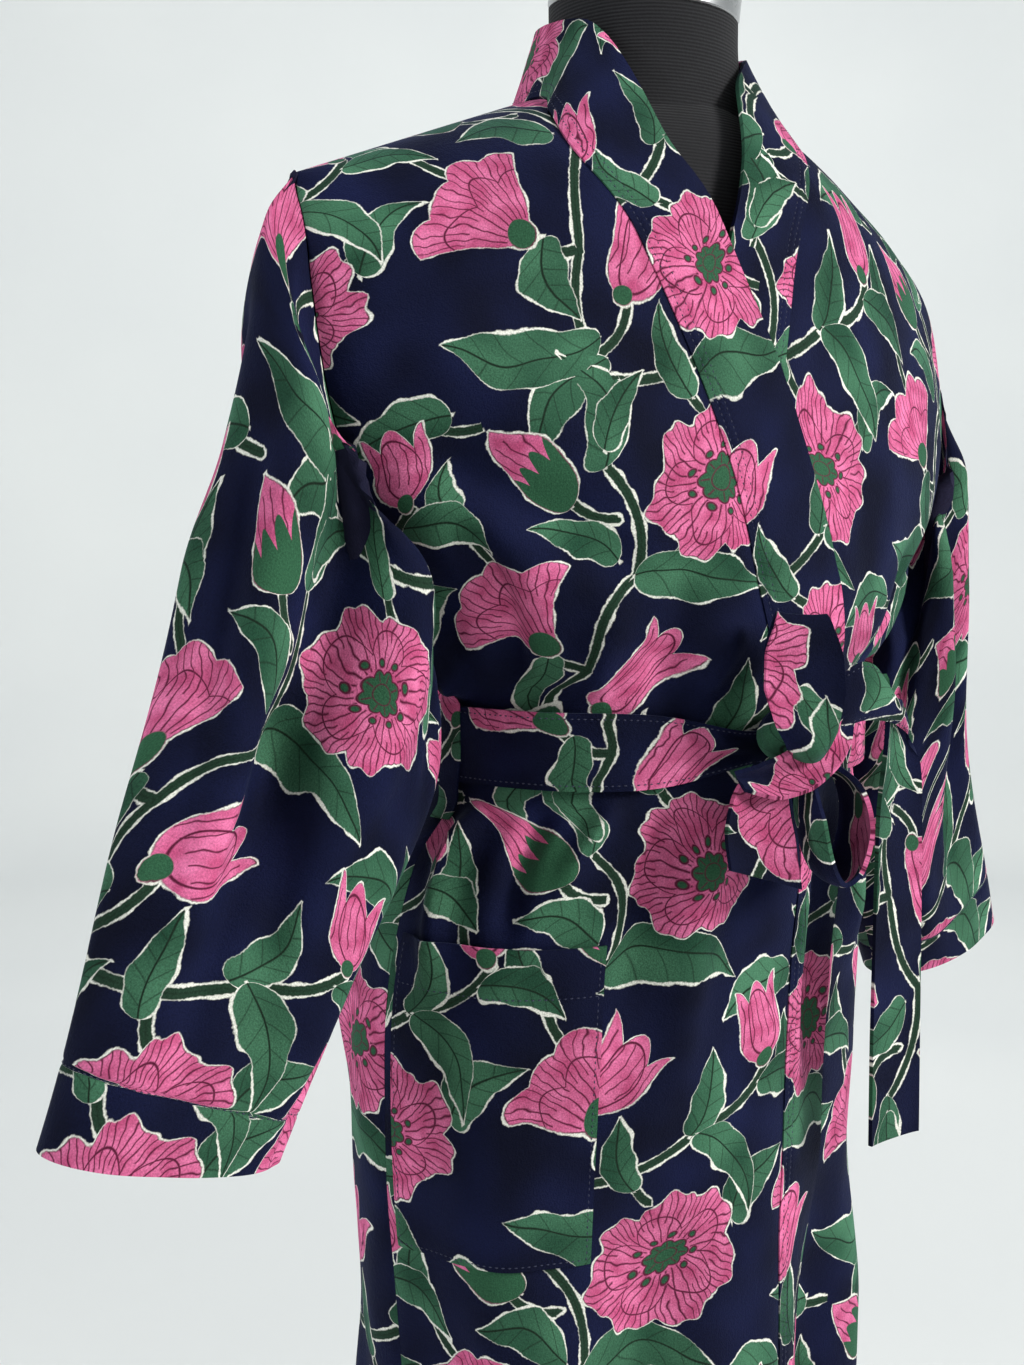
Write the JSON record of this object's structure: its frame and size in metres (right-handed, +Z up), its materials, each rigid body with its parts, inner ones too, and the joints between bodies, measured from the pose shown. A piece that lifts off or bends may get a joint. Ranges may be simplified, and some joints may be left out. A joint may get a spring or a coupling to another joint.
{
  "type": "kimono robe on a dress form",
  "caption": "Velvet kimono robe with a floral print, neck band, wide sleeves, patch pocket and tied belt, hanging closed on a limbless dress form with a round stand.",
  "frame": {"origin": "middle of the underside of the stand's base, on the floor", "axes": "+Z up, -Y the front of the robe, +X the wearer's left"},
  "size_m": [0.7634, 0.38, 1.5335],
  "materials": {
    "velvet": "printed cotton velvet with a soft sheen",
    "knit": "matte fine ribbed knit",
    "cap_metal": "brushed",
    "stand_metal": "satin"
  },
  "bodies": {
    "root": {"back_panel": "velvet", "front_right": "velvet", "front_left": "velvet", "band_right": "velvet", "band_left": "velvet", "sleeve_right": "velvet", "sleeve_left": "velvet", "pocket_right": "velvet", "belt_loop_right": "velvet", "belt_loop_left": "velvet", "belt_waist": "velvet", "belt_knot": "velvet", "belt_lobe": "velvet", "belt_bow_loop": "velvet", "belt_tail_long": "velvet", "belt_tail_short": "velvet", "belt_wrap": "velvet", "form_torso": "knit", "neck_cap": "cap_metal", "stand_pole": "stand_metal", "stand_base": "stand_metal"}
  },
  "joints": []
}
